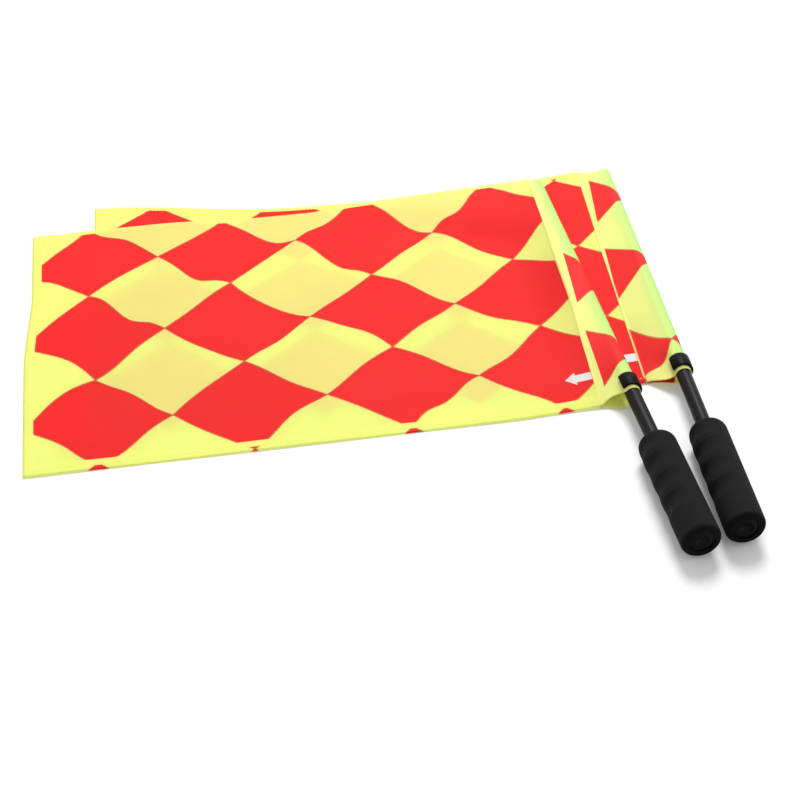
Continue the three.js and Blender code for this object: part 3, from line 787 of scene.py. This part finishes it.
def grip_outline(from_start):
    """The grip's radius before the finger grooves are pressed in."""
    radius = GRIP_RADIUS
    for inside, rounding in ((from_start, GRIP_SHOULDER),
                             (GRIP_LENGTH - from_start, GRIP_END_ROUNDING)):
        if inside < rounding:
            rise = math.sqrt(max(0.0, rounding ** 2 - (rounding - inside) ** 2))
            radius = GRIP_RADIUS - rounding + rise
    return radius


def make_grip(flag):
    rounding = np.radians(np.arange(0, 90, ROUNDING_STEP))
    stations = list(GRIP_SHOULDER * (1 - np.cos(rounding)))
    stations += list(np.arange(GRIP_SHOULDER, GRIP_LENGTH - GRIP_END_ROUNDING, GRIP_STEP))
    stations += list(GRIP_LENGTH - GRIP_END_ROUNDING * (1 - np.sin(rounding)))
    stations.append(GRIP_LENGTH)
    angles = np.linspace(0.0, 2.0 * math.pi, GRIP_SEGMENTS, endpoint=False)
    facing = math.radians(GROOVE_FACING)
    turn = np.abs(np.arctan2(np.sin(angles - facing), np.cos(angles - facing)))
    side = smooth_share(1.0 - turn / math.radians(GROOVE_HALF_SPAN))
    radii = []
    for station in stations:
        dip = 0.0
        for groove in range(GROOVE_COUNT):
            centre = GROOVE_FIRST + groove * GROOVE_PITCH
            across = (station - centre) / GROOVE_HALF_WIDTH
            if abs(across) < 1.0:
                lean = 1.0 - GROOVE_LEAN_SHARE * across
                dip = (1.0 - across ** 2) * lean
        radii.append(grip_outline(station) - GROOVE_DEPTH * dip * side)
    radii += [GRIP_BORE, GRIP_BORE, GRIP_NECK_BORE, GRIP_NECK_BORE]
    stations += [GRIP_LENGTH, GRIP_NECK_LENGTH, GRIP_NECK_LENGTH, 0.0]
    profile = [(radius, GRIP_START + station) for radius, station in zip(radii, stations)]
    grip = lathe(f"{flag.name}_grip_foam", flag, profile, segments=GRIP_SEGMENTS)
    # Painted shade: the end rounding and end face of the foam, which face away from the light, are
    # coloured nearly black
    from_end = GRIP_LENGTH - np.array(stations)
    end_shade_shares = smooth_share(1.0 - from_end / GRIP_END_ROUNDING)
    add_value(grip, "End_painted_shade", np.repeat(end_shade_shares, GRIP_SEGMENTS))
    tidy_normals(grip, sharp_degrees=50.0)
    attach(grip, f"{flag.name}_handle")
    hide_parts(f"{flag.name}_foam_grip")
    return grip


def make_clip(flag):
    """The open ring: a C-shaped outline, swept along the stick with eased rims."""
    middle = CLIP_INNER + CLIP_WALL / 2
    start, end = CLIP_HALF_OPENING, 360.0 - CLIP_HALF_OPENING

    def outline(inset):
        outer, inner = CLIP_INNER + CLIP_WALL - inset, CLIP_INNER + inset

        def lip(place, first):
            turn = math.radians(place)
            centre = (middle * math.cos(turn), middle * math.sin(turn))
            radius = CLIP_WALL / 2 - inset
            return arc_points(centre, radius, first, first + 180.0, CLIP_LIP_STEPS)[:-1]

        return np.array(arc_points((0, 0), outer, start, end, CLIP_ARC_STEPS)[:-1] + lip(end, end)
                        + arc_points((0, 0), inner, end, start, CLIP_ARC_STEPS)[:-1]
                        + lip(start, start + 180.0))

    neck = math.radians(flag.neck)
    near = flag.mouth + CLIP_FROM_MOUTH
    far = near + CLIP_LENGTH
    along, inward = [CLIP_EDGE * share for share in CLIP_EASE_SHARES]
    stations = [(near, CLIP_EDGE), (near + along, inward), (near + CLIP_EDGE, 0.0),
                (far - CLIP_EDGE, 0.0), (far - along, inward), (far, CLIP_EDGE)]
    rows = []
    for y, inset in stations:
        flat = outline(inset)
        x, z = turned(flat[:, 0], flat[:, 1], neck)
        rows.append(np.stack([x, np.full(len(flat), y), z], axis=-1))
    points = np.array(rows)
    count = points.shape[1]
    faces = ring_faces(len(rows), count, False)
    for row in (0, len(rows) - 1):
        faces.append([row * count + step for step in range(count)])
    clip = make_object(f"{flag.name}_clip_ring", flag.stick_place(points), faces)
    tidy_normals(clip, sharp_degrees=30.0)
    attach(clip, f"{flag.name}_flag")
    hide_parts(f"{flag.name}_cloth_clip")
    return clip


def make_butt(flag):
    """The cap in the butt: a dished face with a raised ring, on a short stem."""
    face = STICK_LENGTH - BUTT_RECESS
    under = face - BUTT_HEAD
    ring = BUTT_RING_RADIUS
    profile = [(0.0, under - BUTT_STEM), (BUTT_STEM_RADIUS, under - BUTT_STEM),
               (BUTT_STEM_RADIUS, under), (BUTT_RADIUS, under), (BUTT_RADIUS, face - POLE_EDGE),
               (BUTT_RADIUS - POLE_EDGE, face)]
    profile += [(ring + BUTT_RING_WIDTH / 2 * math.cos(angle),
                 face + BUTT_RING_RISE * math.sin(angle))
                for angle in np.radians(np.arange(0, 181, BUTT_RING_STEP))]
    profile += [(radius, face - BUTT_DISH * math.cos(math.pi / 2 * radius / ring))
                for radius in np.linspace(ring - BUTT_RING_WIDTH / 2, 0.0, BUTT_DISH_STEPS)[1:]]
    butt = lathe(f"{flag.name}_butt_disc", flag, profile, closed=False)
    tidy_normals(butt)
    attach(butt, f"{flag.name}_handle")
    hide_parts(f"{flag.name}_butt_cap")
    return butt


# Materials

def srgb(red, green, blue):
    """A linear colour from 0 to 255 display values."""
    def one(value):
        value /= 255.0
        return value / 12.92 if value <= 0.04045 else ((value + 0.055) / 1.055) ** 2.4
    return one(red), one(green), one(blue), 1.0


WHITE = (1.0, 1.0, 1.0, 1.0)
YELLOW = srgb(250, 254, 164)
# Painted shade: the greener yellow for the sleeve's right side
PAINTED_SHADE_YELLOW = srgb(210, 251, 150)
RED = srgb(251, 45, 43)
OVERPRINT = srgb(206, 84, 34)
OVERPRINT_SHARE = 0.8
LABEL_WHITE = srgb(248, 253, 254)
PRINT_EDGE_SHARPNESS = 34.0
PRINT_WANDER = 0.010
PRINT_WANDER_SCALE = 420.0
FIELD_THROUGH_SHARE = 0.6
SLEEVE_THROUGH_SHARE = 0.46
WEAVE_PITCH = 0.42
WEAVE_RELIEF = 0.09
WEAVE_TONE = 0.05
DYE_TONE = 0.04
DARKEST_TONE = 0.945
FOAM_GRAIN_SHARE = 0.6
MOULDED_UNEVENNESS = 0.14
TUBE_STREAKS = (1.0, 0.03, 1.0)
ARROW_HEAD_SLOPE = 0.8
ARROW_HEAD_LENGTH = 9.0
ARROW_SHAFT_START = 8.0

# The printed arrows: the tip from the fly hem and from the far hem, in the cut of the cloth
REAR_ARROW = {"tip": (426.0, 281.3), "length": 22.5, "half_width": 5.0}
FRONT_ARROW = {"tip": (436.5, 285.7), "length": 22.0, "half_width": 4.0}


class Nodes:
    """The node tree of a material or a world, built from the top down."""

    def __init__(self, owner):
        owner.use_nodes = True
        self.owner = owner
        self.tree = owner.node_tree
        self.tree.nodes.clear()

    def add(self, kind, settings=None, **inputs):
        node = self.tree.nodes.new(kind)
        for key, value in (settings or {}).items():
            setattr(node, key, value)
        for key, value in inputs.items():
            self.plug(node, key.replace("_", " "), value)
        return node

    def plug(self, node, place, value):
        """A link or a plain value for one input, by its name or number."""
        socket = node.inputs[place]
        if isinstance(value, bpy.types.NodeSocket):
            self.tree.links.new(value, socket)
        else:
            socket.default_value = value

    def math(self, operation, *values):
        node = self.add("ShaderNodeMath", {"operation": operation})
        for place, value in enumerate(values):
            self.plug(node, place, value)
        return node.outputs[0]

    def ramp(self, value, start, rise):
        """A number that grows from start by rise while a value goes from 0 to 1."""
        return self.math("MULTIPLY_ADD", value, rise, start)

    def times(self, first, second):
        return self.math("MULTIPLY", first, second)

    def blend(self, share, first, second):
        """A mix of two colours, by a share from 0 to 1."""
        node = self.add("ShaderNodeMix", {"data_type": "RGBA"})
        for place, value in ((0, share), (6, first), (7, second)):
            self.plug(node, place, value)
        return node.outputs[2]

    def between(self, value, low, high):
        """1 where a value lies between two limits, and 0 elsewhere."""
        return self.times(self.math("GREATER_THAN", value, low),
                          self.math("LESS_THAN", value, high))

    def place(self):
        """Each point's place on its own piece."""
        return self.add("ShaderNodeTexCoord").outputs["Object"]

    def attribute(self, name):
        return self.add("ShaderNodeAttribute", {"attribute_name": name}).outputs["Fac"]

    def map_parts(self, name):
        """A UV map, and its two numbers."""
        whole = self.add("ShaderNodeUVMap", {"uv_map": name}).outputs[0]
        parts = self.add("ShaderNodeSeparateXYZ", Vector=whole)
        return whole, parts.outputs[0], parts.outputs[1]

    def noise(self, place, scale, detail=2.0):
        """Noise from 0 to 1, with about as many spots to the metre as scale says."""
        return self.add("ShaderNodeTexNoise", Vector=place, Scale=scale, Detail=detail).outputs[0]

    def relief(self, height, strength, depth):
        """Normals for a fine relief, with its full depth in millimetres."""
        bump = self.add("ShaderNodeBump", Height=height, Strength=strength, Distance=depth * MM)
        return bump.outputs[0]

    def surface(self, colour, rough, normal, specular, **more):
        return self.add("ShaderNodeBsdfPrincipled", Base_Color=colour, Roughness=rough,
                        Normal=normal, Specular_IOR_Level=specular, **more).outputs[0]

    def mix_shaders(self, share, first, second):
        node = self.add("ShaderNodeMixShader")
        for place, value in enumerate((share, first, second)):
            self.plug(node, place, value)
        return node.outputs[0]

    def finish(self, shader, output="ShaderNodeOutputMaterial"):
        self.tree.links.new(shader, self.add(output).inputs["Surface"])
        return self.owner


def new_material(name):
    return Nodes(bpy.data.materials.new(name))


def cloth_material(name, plain_margin, far_stripe, through, near_stripe=(0.0, 0.0), arrow=None,
                   turned=False):
    """Plain-woven polyester with the printed diamonds.

    The print leaves out a margin beside the fly hem, or beside the fold of a sleeve, a stripe at
    the far hem and a stripe between two distances from the near hem. A turned cloth gets painted
    shade: a greener yellow where its painted-shade value says that it faces right, round the stick.
    Through is the share of light let through.
    """
    nodes = new_material(name)
    _, place_s, place_t = nodes.map_parts("Print")
    cut_map, cut_x, cut_y = nodes.map_parts("Cut")
    wander = nodes.math("SUBTRACT", nodes.noise(cut_map, PRINT_WANDER_SCALE), 0.5)
    wander = nodes.times(wander, PRINT_WANDER)

    def side(value):
        wave = nodes.math("SINE", nodes.times(nodes.math("ADD", value, wander), math.pi))
        sharp = nodes.times(wave, PRINT_EDGE_SHARPNESS)
        return nodes.math("MAXIMUM", nodes.math("MINIMUM", sharp, 1.0), -1.0)

    sides = nodes.times(side(place_s), side(place_t))
    printed = nodes.times(nodes.math("GREATER_THAN", cut_x, plain_margin * MM),
                          nodes.math("GREATER_THAN", cut_y, far_stripe * MM))
    from_near = nodes.math("SUBTRACT", CLOTH_HEIGHT * MM, cut_y)
    plain = nodes.between(from_near, near_stripe[0] * MM, near_stripe[1] * MM)
    printed = nodes.times(printed, nodes.math("SUBTRACT", 1.0, plain))
    red = nodes.times(nodes.ramp(sides, start=0.5, rise=0.5), printed)
    edge = nodes.math("SUBTRACT", 1.0, nodes.math("ABSOLUTE", sides))
    edge = nodes.times(nodes.times(edge, OVERPRINT_SHARE), printed)
    ground = YELLOW
    # Painted shade: the sleeve's yellow turns greener on its right side, for how light falls on it
    if turned:
        ground = nodes.blend(nodes.attribute("Sleeve_painted_shade"), YELLOW, PAINTED_SHADE_YELLOW)
    colour = nodes.blend(edge, nodes.blend(red, ground, RED), OVERPRINT)
    if arrow:
        along = nodes.math("SUBTRACT", cut_x, arrow["tip"][0] * MM)
        aside = nodes.math("ABSOLUTE", nodes.math("SUBTRACT", cut_y, arrow["tip"][1] * MM))
        head = nodes.times(nodes.math("LESS_THAN", aside, nodes.times(along, ARROW_HEAD_SLOPE)),
                           nodes.math("LESS_THAN", along, ARROW_HEAD_LENGTH * MM))
        shaft = nodes.times(nodes.between(along, ARROW_SHAFT_START * MM, arrow["length"] * MM),
                            nodes.math("LESS_THAN", aside, arrow["half_width"] * MM))
        colour = nodes.blend(nodes.math("MAXIMUM", head, shaft), colour, LABEL_WHITE)

    def rounded(value):
        return nodes.math("ABSOLUTE", nodes.math("SINE", nodes.times(value, math.pi)))

    thread_x = nodes.times(cut_x, 1.0 / (WEAVE_PITCH * MM))
    thread_y = nodes.times(cut_y, 1.0 / (WEAVE_PITCH * MM))
    square = nodes.math("ADD", nodes.math("FLOOR", thread_x), nodes.math("FLOOR", thread_y))
    over = nodes.math("PINGPONG", square, 1.0)
    warp, weft = rounded(thread_x), rounded(thread_y)
    weave = nodes.math("ADD", warp, nodes.times(over, nodes.math("SUBTRACT", weft, warp)))
    broad = nodes.noise(cut_map, scale=22.0, detail=3.0)
    tone = nodes.ramp(weave, start=DARKEST_TONE, rise=WEAVE_TONE)
    tone = nodes.ramp(broad, start=tone, rise=DYE_TONE)
    dyed = nodes.add("ShaderNodeHueSaturation", Value=tone, Color=colour).outputs[0]
    normal = nodes.relief(weave, strength=0.5, depth=WEAVE_RELIEF)
    rough = nodes.ramp(broad, start=0.52, rise=0.14)
    surface = nodes.surface(dyed, rough, normal, specular=0.3, Sheen_Weight=0.06)
    lit_through = nodes.add("ShaderNodeBsdfTranslucent", Color=dyed, Normal=normal).outputs[0]
    return nodes.finish(nodes.mix_shaders(through, surface, lit_through))


def thread_material():
    """Twisted yellow polyester thread."""
    nodes = new_material("sewing_thread")
    twist = nodes.noise(nodes.place(), scale=3000.0)
    colour = nodes.blend(twist, srgb(238, 244, 128), srgb(252, 255, 176))
    normal = nodes.relief(twist, strength=0.4, depth=0.05)
    return nodes.finish(nodes.surface(colour, rough=0.45, normal=normal, specular=0.5))


def lacquer_material():
    """Satin black lacquer on a drawn tube: fine lengthwise streaks and a little dust."""
    nodes = new_material("black_lacquer")
    place = nodes.place()
    drawn = nodes.add("ShaderNodeMapping", Vector=place, Scale=TUBE_STREAKS).outputs[0]
    streak = nodes.noise(drawn, scale=1400.0, detail=3.0)
    colour = nodes.blend(streak, srgb(10, 10, 10), srgb(26, 24, 23))
    rough = nodes.ramp(streak, start=0.34, rise=0.16)
    dust = nodes.relief(nodes.noise(place, scale=2200.0), strength=0.3, depth=0.04)
    return nodes.finish(nodes.surface(colour, rough, dust, specular=0.1))


def foam_material():
    """Closed-cell foam: matt black with fine cells and a few larger ones, with painted shade that
    darkens the butt end.
    """
    nodes = new_material("black_foam")
    place = nodes.place()
    cells = nodes.add("ShaderNodeTexVoronoi", Vector=place, Scale=1500.0).outputs[0]
    broad = nodes.noise(place, scale=160.0, detail=4.0)
    grain = nodes.noise(place, scale=2600.0, detail=3.0)
    tone = nodes.times(nodes.math("ADD", cells, broad), 0.5)
    colour = nodes.blend(tone, srgb(14, 14, 14), srgb(28, 28, 28))
    # Painted shade: the butt end of the grip nearly black
    colour = nodes.blend(nodes.attribute("End_painted_shade"), colour, srgb(3, 3, 3))
    height = nodes.math("ADD", cells, nodes.times(grain, FOAM_GRAIN_SHARE))
    normal = nodes.relief(height, strength=0.5, depth=0.22)
    rough = nodes.ramp(grain, start=0.86, rise=0.1)
    return nodes.finish(nodes.surface(colour, rough, normal, specular=0.12))


def moulded_material(name, dark, light, roughness, specular):
    """Moulded plastic with a fine eggshell grain, in two close tones from 0 to 255."""
    nodes = new_material(name)
    place = nodes.place()
    grain = nodes.noise(place, scale=1900.0, detail=3.0)
    broad = nodes.noise(place, scale=140.0)
    colour = nodes.blend(broad, srgb(*dark), srgb(*light))
    rough = nodes.ramp(broad, roughness - MOULDED_UNEVENNESS / 2, MOULDED_UNEVENNESS)
    normal = nodes.relief(grain, strength=0.25, depth=0.06)
    return nodes.finish(nodes.surface(colour, rough, normal, specular))


CLOTHS = {
    "rear": cloth_material("rear_printed_cloth", plain_margin=7.0, far_stripe=5.0,
                           through=FIELD_THROUGH_SHARE, arrow=REAR_ARROW),
    "front": cloth_material("front_printed_cloth", plain_margin=8.0, far_stripe=5.5,
                            through=FIELD_THROUGH_SHARE, near_stripe=(4.5, 11.5),
                            arrow=FRONT_ARROW),
}
SLEEVE_CLOTH = cloth_material("printed_sleeve", plain_margin=0.0, far_stripe=7.0,
                              through=SLEEVE_THROUGH_SHARE, turned=True)
THREAD = thread_material()
TUBE = lacquer_material()
FOAM = foam_material()
PLASTIC = moulded_material("black_plastic", dark=(4, 4, 4), light=(9, 9, 9),
                           roughness=0.45, specular=0.06)
# Painted shade: the butt cap is a darker copy of the black plastic, for an end that faces away from
# the light
SHADED_BUTT_PLASTIC = moulded_material("butt_plastic_painted_shade", dark=(1, 1, 1), light=(5, 5, 5),
                                roughness=0.35, specular=0.09)
NYLON = moulded_material("white_nylon", dark=(214, 212, 204), light=(230, 228, 220),
                         roughness=0.5, specular=0.5)


def dress(thing, material):
    thing.data.materials.clear()
    thing.data.materials.append(material)


# Build

for flag in FLAGS:
    dress(make_field(flag), CLOTHS[flag.name])
    dress(make_sleeve(flag), SLEEVE_CLOTH)
    dress(make_stitching(flag), THREAD)
    dress(make_pole(flag), TUBE)
    dress(make_grip(flag), FOAM)
    dress(make_clip(flag), PLASTIC)
    dress(make_butt(flag), SHADED_BUTT_PLASTIC)
    for piece in ("tip_cap", "handle_liner"):
        dress(frame["nodes"][f"{flag.name}_{piece}"], PLASTIC)
    for piece in ("pole_end_stop", "thrust_washer"):
        dress(frame["nodes"][f"{flag.name}_{piece}"], NYLON)


# Floor, background, light and camera

FLOOR_REACH = 1700.0
FLOOR_GREY = (0.8, 0.8, 0.8, 1.0)
FLOOR_GLOW = 0.07
WORLD_LIGHT = 0.72

# In metres. The camera was solved from the printed diamonds and stands before the front tip.
KEY_PLACE = (0.45, 1.12, 1.6)
KEY_TARGET = (0.1, 0.0, 0.0)
KEY_SIZE = 0.95
KEY_POWER = 38.0
CAMERA_ACROSS = -0.35335
CAMERA_ALONG = -1.33844
CAMERA_HEIGHT = 0.91842
CAMERA_PITCH = 49.55
CAMERA_TURN = -9.54
CAMERA_LENS = 78.75
CAMERA_SENSOR = 36.0


def make_stage():
    """A plain pale floor, a touch brighter to the camera than to the light."""
    reach = FLOOR_REACH
    corners = [(-reach, -reach, 0), (reach, -reach, 0), (reach, reach, 0), (-reach, reach, 0)]
    floor = make_object("table_top", corners, [(0, 1, 2, 3)], smooth=False)
    nodes = new_material("pale_table")
    base = nodes.add("ShaderNodeBsdfDiffuse", Color=FLOOR_GREY).outputs[0]
    glow = nodes.add("ShaderNodeEmission", Color=WHITE, Strength=FLOOR_GLOW).outputs[0]
    both = nodes.add("ShaderNodeAddShader")
    nodes.plug(both, 0, base)
    nodes.plug(both, 1, glow)
    seen = nodes.add("ShaderNodeLightPath").outputs["Is Camera Ray"]
    dress(floor, nodes.finish(nodes.mix_shaders(seen, base, both.outputs[0])))


def make_world():
    """Even studio light, and plain white where the camera, a gloss or glass looks past it."""
    world = bpy.data.worlds.new("studio")
    bpy.context.scene.world = world
    nodes = Nodes(world)
    rays = nodes.add("ShaderNodeLightPath").outputs
    seen = rays["Is Camera Ray"]
    for kind in ("Is Transmission Ray", "Is Glossy Ray"):
        seen = nodes.math("MAXIMUM", seen, rays[kind])
    light, white = [nodes.add("ShaderNodeBackground", Color=WHITE, Strength=strength).outputs[0]
                    for strength in (WORLD_LIGHT, 1.0)]
    nodes.finish(nodes.mix_shaders(seen, light, white), "ShaderNodeOutputWorld")


def make_light():
    """One large soft lamp behind the flags."""
    light = bpy.data.lights.new("soft_key", "AREA")
    light.shape = "DISK"
    light.size = KEY_SIZE
    light.energy = KEY_POWER
    thing = add_object("soft_key", light)
    thing.location = KEY_PLACE
    aim = Vector(KEY_TARGET) - Vector(KEY_PLACE)
    thing.rotation_euler = aim.to_track_quat("-Z", "Y").to_euler()


def make_camera():
    """The photographed view, placed from the front flag's tip."""
    lens = bpy.data.cameras.new("camera")
    lens.sensor_width = CAMERA_SENSOR
    lens.lens = CAMERA_LENS
    thing = add_object("camera", lens)
    tip = FRONT.tip * MM
    thing.location = (tip[0] + CAMERA_ACROSS, tip[1] + CAMERA_ALONG, CAMERA_HEIGHT)
    thing.rotation_euler = (math.radians(CAMERA_PITCH), 0.0, math.radians(CAMERA_TURN))
    bpy.context.scene.camera = thing


make_stage()
make_world()
make_light()
make_camera()
bpy.context.scene.view_settings.view_transform = "Standard"
